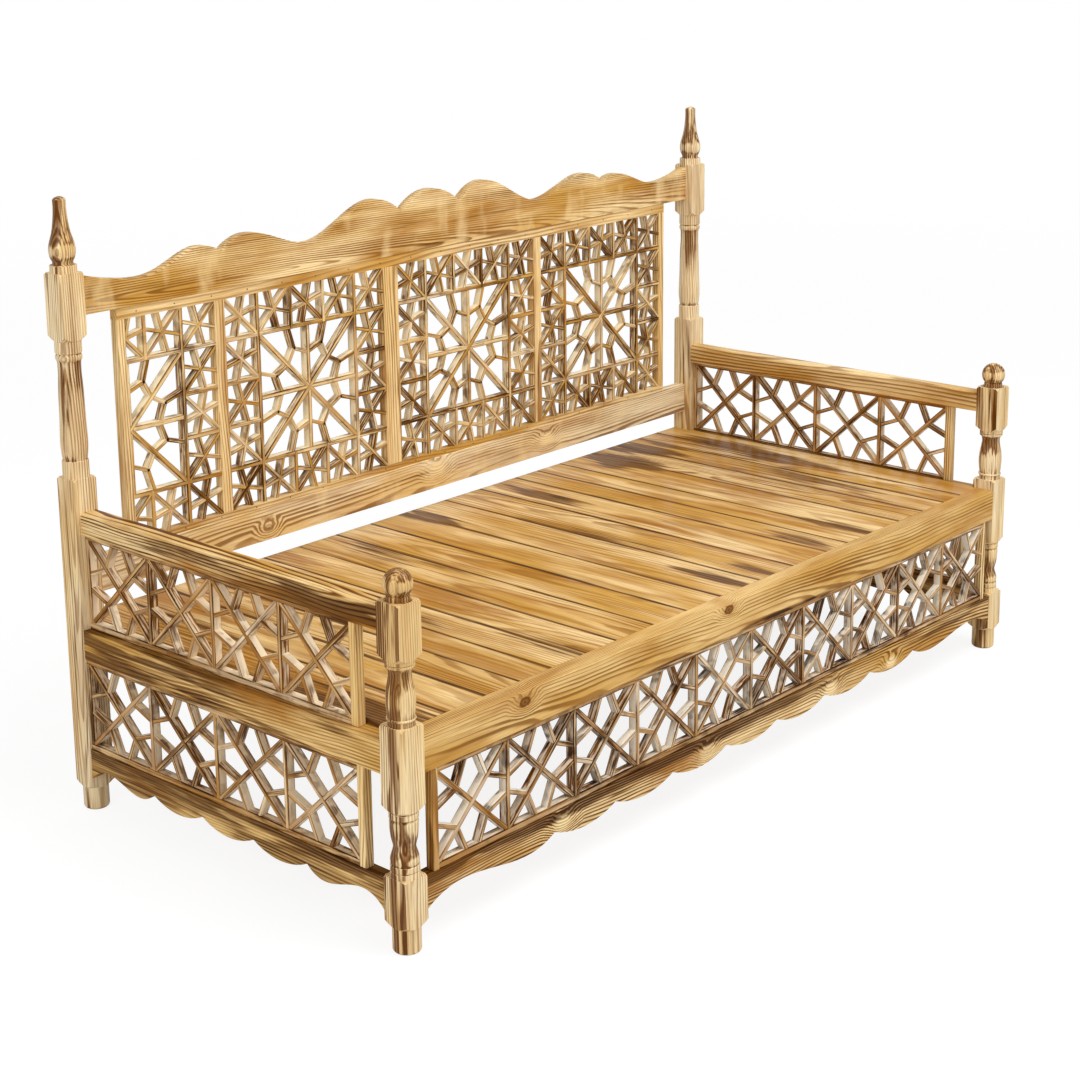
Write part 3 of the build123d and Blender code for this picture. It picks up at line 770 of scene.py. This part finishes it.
def outline(width, front, back):
    """Round a strip, as sideways and depth: front corners in two steps, back ones in one."""
    half, soft = width / 2, min(EASED_EDGE, width / 5)
    return [
        (-half, front + soft),
        (-half + 0.3 * soft, front + 0.3 * soft),
        (-half + soft, front),
        (0.0, front),
        (half - soft, front),
        (half - 0.3 * soft, front + 0.3 * soft),
        (half, front + soft),
        (half, back - soft / 2),
        (half - soft / 2, back),
        (0.0, back),
        (-half + soft / 2, back),
        (-half, back - soft / 2),
    ]


print("a strip has", len(outline(0.01, 0.0, 0.01)), "points round it")

# %% [markdown]
# A lattice looks like one pierced board from afar. Close by it is strips, each with its
# own colour and with grain that runs along it, and that is what gives it its sparkle.
# So the pierced plates are replaced by strips at the same places: the sills, heads and
# dividers first, then the long diagonals, then the short branches. Where two strips
# cross, one lies a hair deeper, as a halved joint does after sanding. For its finish
# each strip carries two sets of numbers: its place in the wood, and its tone with how
# far a point is from the strip's middle and front.

# %% A mesh made of strips
RUN_ON = 0.3  # share of its width that a strip runs on into the strips at its ends


class Strips:
    def __init__(self, name, place, thick):
        self.name = name
        self.place = place
        self.thick = thick
        self.luck = random.Random(name)
        self.points, self.faces, self.grain, self.cut = [], [], [], []

    def lay(self, start, end, width, deeper, runs_on=True):
        """One strip along a centre line, so much deeper than the face of the lattice."""
        start, end = Vector(start), Vector(end)
        along = (end - start).normalized()
        across = Vector((-along.y, along.x))
        extra = along * width * RUN_ON if runs_on else along * 0
        section = outline(width, deeper, self.thick - deeper)
        tone = self.luck.random()
        stray = [self.luck.uniform(-reach, reach) for reach in (3, 0.05, 0.03)]
        first, count = len(self.points), len(section)
        run = (end - start).length + 2 * RUN_ON * width
        for spot, at in ((start - extra, 0.0), (end + extra, run)):
            for side, depth in section:
                flat = spot + across * side
                self.points.append(self.place(flat.x, flat.y, depth))
                self.grain.append((at + stray[X], side + stray[Y], depth + stray[Z]))
                self.cut.append((tone, abs(side) / (width / 2), depth / self.thick))
        for k in range(count):
            here, after = first + k, first + (k + 1) % count
            self.faces.append((here, after, after + count, here + count))
        self.faces.append(tuple(first + k for k in reversed(range(count))))
        self.faces.append(tuple(first + count + k for k in range(count)))

    def made(self):
        """The mesh object, with its strips' numbers as attributes."""
        mesh = bpy.data.meshes.new(self.name)
        mesh.from_pydata(self.points, [], self.faces)
        for label, values in (("grain", self.grain), ("cut", self.cut)):
            layer = mesh.attributes.new(label, "FLOAT_VECTOR", "POINT")
            numbers = [number for value in values for number in value]
            layer.data.foreach_set("vector", numbers)
        piece = bpy.data.objects.new(self.name, mesh)
        bpy.context.collection.objects.link(piece)
        outward = Vector(self.place(0, 0, 0)) - Vector(self.place(0, 0, 1))
        if mesh.polygons[2].normal.dot(outward) < 0:
            mesh.flip_normals()
        return piece


print("strips run on by", RUN_ON, "of their width")

# %% [markdown]
# The same strips stand in the front of the bench and in its ends. They could be laid
# flat and the object turned into place, but the finish measures its flames in the
# object's own space, which has to stay the room's. So each mesh is told how a place
# along the row, a height and a depth become a place in the room.

# %% Faces that strips are laid on


def on_front(face_y):
    return lambda a, z, depth: (a, face_y + depth, z)


def on_end(face_x):
    inward = -1 if face_x > 0 else 1
    return lambda a, z, depth: (face_x + inward * depth, a, z)


print("1 cm into a face at 1 m:", on_front(1.0)(0, 0, 0.01), on_end(1.0)(0, 0, 0.01))

# %% [markdown]
# The cells repeat what the joiner set out with a square: a pair of diagonals that fork
# towards the corners in the low lattices, and in the screen small knots of three
# strips round a large star with eight forks of three branches. Each strip could be
# measured by itself, but a joiner marks shares of the cell, so one rule fits cells of
# any size. A strip is given as its two ends, its width and how much deeper it lies.

# %% Cells of the lattices
# Widths of the strips
FORK_BAR, FORK_BRANCH = 0.0105, 0.0095
STAR_BAR, STAR_BRANCH = 0.011, 0.009
KNOT_BAR = 0.0085
# Shares of half a cell, from its middle
FORK_AT, FORK_OPENS = 0.44, 0.2
KNOT_CROSSES = 0.268
STAR_NEAR, STAR_FAR = 0.29, 0.68
STAR_BRANCHES = ((0.0, 0.57), (0.43, 0.43), (0.39, 1.0))
CORNERS = [(sx, sz) for sx in (-1, 1) for sz in (-1, 1)]


def fork_cell(x, z, wide, tall):
    u, v = wide / 2, tall / 2
    found = [
        ((x - u, z - v), (x + u, z + v), FORK_BAR, 0.0004),
        ((x - u, z + v), (x + u, z - v), FORK_BAR, 0.0007),
    ]
    for sx, sz in CORNERS:
        fork = (x + sx * FORK_AT * u, z + sz * FORK_AT * v)
        found.append((fork, (x + sx * FORK_OPENS * u, z + sz * v), FORK_BRANCH, 0.0011))
        found.append((fork, (x + sx * u, z + sz * FORK_OPENS * v), FORK_BRANCH, 0.0013))
    return found


def knot_cell(u, v, rising):
    s = 1 if rising else -1
    near_x, near_z = s * KNOT_CROSSES * u, KNOT_CROSSES * v
    return [
        ((-s * u, -v), (s * u, v), KNOT_BAR, 0.0005),
        ((-near_x, v), (near_x, -v), KNOT_BAR, 0.0008),
        ((-s * u, near_z), (s * u, -near_z), KNOT_BAR, 0.0011),
    ]


def star_cell(u, v):
    found = [
        ((-u, -v), (u, v), STAR_BAR, 0.0004),
        ((-u, v), (u, -v), STAR_BAR, 0.0006),
        ((-u, 0), (u, 0), STAR_BAR, 0.0008),
        ((0, -v), (0, v), STAR_BAR, 0.0010),
    ]
    for sx, sz in CORNERS:
        high_fork = (sx * STAR_NEAR * u, sz * STAR_FAR * v)
        wide_fork = (sx * STAR_FAR * u, sz * STAR_NEAR * v)
        for a, b in STAR_BRANCHES:
            found.append((high_fork, (sx * a * u, sz * b * v), STAR_BRANCH, 0.0013))
            found.append((wide_fork, (sx * b * u, sz * a * v), STAR_BRANCH, 0.0015))
    return found


print(len(star_cell(1, 1)), "strips in a star and", len(knot_cell(1, 1, True)), "in a knot")

# %% [markdown]
# Strips were burnt before they were fitted, so their fronts and edges are dark in one
# strip and fair in the next, while their sides are nearly bare wood. The edges of the
# fronts are darkened further, partly as char and partly as painted shade. Light sides
# under dark fronts are what one sees through a lattice at a slant. One material for each
# kind of lattice is enough, because the mesh tells every strip's tone, and where its front
# and edges are. Patches of flame in the room's own measure then run over many strips.

# %% The finish of strips
FLECKS = (20.0, 260.0, 260.0)
FLAMES = (9.0, 9.0, 9.0)
SCARS = (24.0, 24.0, 24.0)
STRIP_HEART = (0.02, 0.03)
TOASTED = 0.6


def strip_pine(name, sides, edges, scar, hot_spots, **differences):
    """Finish of strips: burnt fronts, front edges darkened by char and painted shade, pale
    sides.
    """
    finish = Finish(name)
    place = finish.node("ShaderNodeAttribute", {"attribute_name": "grain"}, {}, "Vector")
    cut = finish.node("ShaderNodeAttribute", {"attribute_name": "cut"}, {}, "Vector")
    world = finish.node("ShaderNodeTexCoord", {}, {}, "Object")
    tone, edge, depth = cut.part(X), cut.part(Y), cut.part(Z)
    flames = finish.noise(world, FLAMES, 3.0).rising(0.38, 0.62)
    flecks = finish.noise(place, FLECKS, 3.0).rising(0.42, 0.6)
    face = (depth - 0.5).size().rising(0.36, 0.43)
    for x, fade in hot_spots:
        flames = flames + near(world, X, x, fade, 0.7)
    heat = tone.rising(0.3, 0.9) * 0.75 + flames * 0.5
    wood = {**plain_board, "luck": (0, 0, 0), "heart": STRIP_HEART, "burn": 0.1, **differences}
    wood["light"] = finish.mix(tone.rising(0.0, 0.4), sides, wood["light"])
    burn = face * heat * TOASTED * (flecks * 0.5 + 0.6)
    colour, rough, normal = torched(place, wood, burn)
    # The fronts' edges darken: partly char, partly painted shade
    char_and_shade_edge = edge.rising(0.45, 0.85) * (flecks * 0.5 + heat * 0.8 + 0.15) * edges
    edge_char_shade_colour = finish.mix(flames, SUMMER, CHAR)
    colour = finish.mix((char_and_shade_edge * face).rising(0.0, 1.0), colour, edge_char_shade_colour)
    bare = finish.mix(heat.rising(0.3, 1.1, 0.35), sides, AMBER)
    bare = finish.mix((heat * flecks).rising(0.1, 1.0), bare, TOAST)
    colour = finish.mix((1 - face) * 0.95, colour, bare)
    scars = finish.noise(world, SCARS).rising(0.53, 0.62) * flames.rising(-0.5, 0.9)
    colour = finish.mix(scars * (1 - face * 0.4) * (flecks * 0.35 + 0.5), colour, scar)
    return lacquered(colour, rough, normal, wood["coat"])


print("flames on strips repeat", FLAMES[X], "times a metre")

# %% [markdown]
# The low lattice has the palest sides and black scars, the ends are browner and the
# screen is golden. Each could have a recipe of its own, but the three would drift apart,
# so one recipe takes what differs. A hot spot is where the torch stayed longest: metres
# along the bench from its middle, and how far its mark reaches.

# %% Pine for the three kinds of lattice
low_pine = strip_pine(
    "low_lattice_pine",
    sides=ASH,
    edges=1.0,
    scar=CHAR,
    hot_spots=((0.1, 0.3),),
    light=(0.86, 0.66, 0.40, 1),
    body=(0.52, 0.31, 0.13, 1),
    lines=0.6,
)
end_pine = strip_pine(
    "end_lattice_pine",
    sides=(0.93, 0.77, 0.54, 1),
    edges=1.0,
    scar=SUMMER,
    hot_spots=(),
    light=(0.86, 0.62, 0.32, 1),
    body=(0.50, 0.26, 0.08, 1),
    lines=0.6,
)
screen_pine = strip_pine(
    "screen_pine",
    sides=(0.98, 0.84, 0.57, 1),
    edges=0.9,
    scar=SUMMER,
    hot_spots=((-0.13, 0.12), (0.40, 0.09), (0.82, 0.08)),
    light=BLOND,
    lines=0.5,
)
print("made", low_pine.name, end_pine.name, "and", screen_pine.name)

# %% [markdown]
# Each row of forked cells is set between its sill and its head, on the face of the solid
# that it replaces. It could be placed by typed numbers, but the solid's box gives every
# limit, so the row still fits when the solid's size is changed.

# %% A row of forked cells
# Widths of the strips round the cells, and the solids that have been replaced
SILL, HEAD, FORK_DIVIDER, REAR_STRIP = 0.014, 0.012, 0.0105, 0.010
replaced = []


def row_of_forks(node, start, stop, place, thick, cells, rear_strip=0.0):
    """A sill, a head, the dividers and their cells, in one piece that replaces a plate."""
    low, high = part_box(node)
    strips = Strips(node + "_strips", place, thick)
    for level, width in ((low.z + SILL / 2, SILL), (high.z - HEAD / 2, HEAD)):
        strips.lay((start, level), (stop, level), width, 0.0, False)
    wide = (stop - start - rear_strip - (cells - 1) * FORK_DIVIDER) / cells
    tall = high.z - low.z - SILL - HEAD
    middle = low.z + SILL + tall / 2
    foot, top = middle - tall / 2, middle + tall / 2
    for k in range(cells):
        x = start + wide / 2 + k * (wide + FORK_DIVIDER)
        for strip in fork_cell(x, middle, wide, tall):
            strips.lay(*strip)
        if k:
            edge = x - wide / 2 - FORK_DIVIDER / 2
            strips.lay((edge, foot), (edge, top), FORK_DIVIDER, 0.0002)
    if rear_strip:
        edge = stop - rear_strip / 2
        strips.lay((edge, foot), (edge, top), rear_strip, 0.0002)
    return strips.made()


def stands_for(piece, node, material):
    """Finishes a lattice, and lets it take the place of its solid."""
    piece.data.materials.append(material)
    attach(piece, "root")
    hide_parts(node)
    replaced.append(node)
    print(piece.name, len(piece.data.polygons), "faces")


print("a row has a sill of", SILL * 1000, "mm and a head of", HEAD * 1000, "mm")

# %% [markdown]
# The front has ten cells. The ends and arms have four, and a rear strip that closes the
# row. The left end could be mirrored to make the right one, but a mirrored mesh would
# repeat every mark. Both are laid from their own outer faces instead.

# %% Lattices of the front, the ends and the arms
low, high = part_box("front_lattice")
front = row_of_forks("front_lattice", low.x, high.x, on_front(low.y), high.y - low.y, 10)
stands_for(front, "front_lattice", low_pine)
for row in ("end_lattice_", "arm_lattice_"):
    for side in ("left", "right"):
        low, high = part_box(row + side)
        outer = low.x if side == "left" else high.x
        thick = high.x - low.x
        lattice = row_of_forks(row + side, low.y, high.y, on_end(outer), thick, 4, REAR_STRIP)
        stands_for(lattice, row + side, end_pine)

# %% [markdown]
# A panel of the screen is five cells square. Its border is small knots, whose diagonals
# lean as the table says, and one star fills the nine cells in the middle. A rule could
# give the leans too, but a table shows at a glance how each knot lies.

# %% Strips of a screen panel
DIAGONALS = ("\\/\\//", "\\   /", "/   \\", "\\   /", "/\\/\\\\")
DIVIDER = 0.010


def panel_strips(wide, tall):
    """Strips of a whole panel, about its middle."""
    cell_x, cell_z = (wide - 4 * DIVIDER) / 5, (tall - 4 * DIVIDER) / 5
    step_x, step_z = cell_x + DIVIDER, cell_z + DIVIDER
    found = []
    for s in (-1, 1):
        line_x, line_z = s * 1.5 * step_x, s * 1.5 * step_z
        edge_x, edge_z = s * wide / 2, s * tall / 2
        found.append(((line_x, -tall / 2), (line_x, tall / 2), DIVIDER, 0.0002))
        found.append(((-wide / 2, line_z), (wide / 2, line_z), DIVIDER, 0.0003))
        for t in (-0.5, 0.5):
            found.append(((line_x, t * step_z), (edge_x, t * step_z), DIVIDER, 0.0003))
            found.append(((t * step_x, line_z), (t * step_x, edge_z), DIVIDER, 0.0002))
    for row, leans in enumerate(DIAGONALS):
        for column, lean in enumerate(leans):
            if lean == " ":
                continue
            x, z = (column - 2) * step_x, (2 - row) * step_z
            knot = knot_cell(cell_x / 2, cell_z / 2, lean == "/")
            for (x0, z0), (x1, z1), width, deeper in knot:
                found.append(((x0 + x, z0 + z), (x1 + x, z1 + z), width, deeper))
    return found + star_cell(wide / 2 - step_x, tall / 2 - step_z)


print(len(panel_strips(1.0, 1.0)), "strips in a panel")

# %% [markdown]
# The half panel at the left end is the right half of a whole one. A boolean could cut
# the finished mesh, but cutting the strips' centre lines is exact, and each strip keeps
# its own numbers. Every panel is laid from its own solid's box.

# %% Screen panels


def right_half(strips):
    """What is left of the strips to the right of the middle line."""
    kept = []
    for start, end, width, deeper in strips:
        if start[0] > end[0]:
            start, end = end, start
        if end[0] >= 0:
            if start[0] < 0:
                share = start[0] / (start[0] - end[0])
                start = (0.0, start[1] + share * (end[1] - start[1]))
            kept.append((start, end, width, deeper))
    return kept


low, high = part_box("screen_panel_centre")
whole = panel_strips(high.x - low.x, high.z - low.z)
for part in ("half", "left", "centre", "right"):
    node = "screen_panel_" + part
    low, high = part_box(node)
    middle_x = low.x if part == "half" else (low.x + high.x) / 2
    middle_z = (low.z + high.z) / 2
    strips = Strips(node + "_strips", on_front(low.y), high.y - low.y)
    for start, end, width, deeper in right_half(whole) if part == "half" else whole:
        start = (start[0] + middle_x, start[1] + middle_z)
        end = (end[0] + middle_x, end[1] + middle_z)
        strips.lay(start, end, width, deeper)
    stands_for(strips.made(), node, screen_pine)

# %% [markdown]
# No sawn edge is perfectly sharp once it has been brushed, and it is the softened edge
# that catches the light. The solids' meshes stay as they are: a modifier welds their
# corners and another bevels them by about a millimetre.

# %% Softened edges
WELDED_WITHIN = 0.00001
SOFT_EDGE = 0.0012
SHARP_FROM = math.radians(38)
kept_sharp = [*replaced, "screen_pins"]
for name, solid in solids.items():
    if name in kept_sharp:
        continue
    weld = solid.modifiers.new("weld", "WELD")
    weld.merge_threshold = WELDED_WITHIN
    soften = solid.modifiers.new("soften", "BEVEL")
    soften.width = SOFT_EDGE
    soften.segments = 2
    soften.limit_method = "ANGLE"
    soften.angle_limit = SHARP_FROM
print(len(solids) - len(kept_sharp), "solids have softened edges")

# %% [markdown]
# The stage is a studio: a pale floor, a broad lamp above the front, a weaker one on the
# left, and pale air all round. More light would make the background white, but the bench
# too. So the floor and the air show themselves nearly white only to the camera's rays
# and to those that come off lacquer and metal. For all other rays they are plainer, and
# the bench is lit gently. The floor near the bench keeps a share of its shadow.

# %% Floor
WHITE = (1, 1, 1, 1)
# The floor as it lights the bench, and as it shows itself near the bench
PAPER, PAPER_SEEN = (0.8, 0.8, 0.8, 1), (0.17, 0.17, 0.17, 1)
PAPER_GLOW = 0.87
# Metres from the middle: the floor's edge, and where shadows start and end fading
FLOOR_REACH = 30.0
SHADOWS_TO, WHITE_FROM = 2.0, 9.0


def shows_background(finish):
    """1 for the rays of the camera and of metal, lacquer and glass, and 0 for others."""
    kinds = ("Is Camera Ray", "Is Glossy Ray", "Is Transmission Ray")
    camera_ray, glossy_ray, clear_ray = (
        finish.node("ShaderNodeLightPath", {}, {}, kind) for kind in kinds
    )
    return (camera_ray + glossy_ray + clear_ray).rising(0.0, 1.0)


corner_signs = ((-1, -1), (1, -1), (1, 1), (-1, 1))
corners = [(x * FLOOR_REACH, y * FLOOR_REACH, 0) for x, y in corner_signs]
floor_mesh = bpy.data.meshes.new("floor")
floor_mesh.from_pydata(corners, [], [(0, 1, 2, 3)])
floor = bpy.data.objects.new("floor", floor_mesh)
bpy.context.collection.objects.link(floor)

paper = Finish("paper")
from_bench = paper.node("ShaderNodeTexCoord", {}, {}, "Object").length()
away = from_bench.rising(SHADOWS_TO, WHITE_FROM)
matt = paper.node("ShaderNodeBsdfDiffuse", {}, {"Color": PAPER})
faint = paper.node("ShaderNodeBsdfDiffuse", {}, {"Color": PAPER_SEEN})
glow = paper.node("ShaderNodeEmission", {}, {"Color": WHITE, "Strength": PAPER_GLOW})
white = paper.node("ShaderNodeEmission", {}, {"Color": WHITE, "Strength": 1.0})
close = paper.node("ShaderNodeAddShader", {}, {0: faint, 1: glow})
shown = paper.node("ShaderNodeMixShader", {}, {0: away, 1: close, 2: white})
sheet = paper.node("ShaderNodeMixShader", {}, {0: shows_background(paper), 1: matt, 2: shown})
paper.node("ShaderNodeOutputMaterial", {}, {0: sheet})
floor_mesh.materials.append(paper.owner)
print("floor of", 2 * FLOOR_REACH, "m, with shadows to", SHADOWS_TO, "m")

# %% [markdown]
# The air is the light that comes from everywhere. A dome of lamps could give it too, but
# the world's background does it with one strength, which is lower for rays that light
# the bench than for those that show the background.

# %% Air
AIR_LIGHT = 0.52
air = Finish("air", "worlds")
strength = shows_background(air) * (1.0 - AIR_LIGHT) + AIR_LIGHT
sky = air.node("ShaderNodeBackground", {}, {"Color": WHITE, "Strength": strength})
air.node("ShaderNodeOutputWorld", {}, {0: sky})
bpy.context.scene.world = air.owner
print("the air lights the bench with a strength of", AIR_LIGHT)

# %% [markdown]
# A lamp's size softens its shadow, and its distance evens its light. Small lamps would
# draw every strip of the lattices twice, so both lamps are broad discs. The left one is
# weak: it only lifts the end of the bench, which the main lamp passes by.

# %% Lamps


def lamp(name, place, aim, size, watts):
    light = bpy.data.lights.new(name, "AREA")
    light.shape = "DISK"
    light.size = size
    light.energy = watts
    towards = Vector(aim) - Vector(place)
    lamp_object = bpy.data.objects.new(name, light)
    lamp_object.location = place
    lamp_object.rotation_euler = towards.to_track_quat("-Z", "Y").to_euler()
    bpy.context.collection.objects.link(lamp_object)
    print(name, "at", place, "with", watts, "W")


lamp("key_lamp", (0.4, -2.7, 4.5), (0, 0, 0.4), size=3.2, watts=160)
lamp("left_lamp", (-4.2, -0.8, 2.4), (0, 0, 0.5), size=1.8, watts=48)
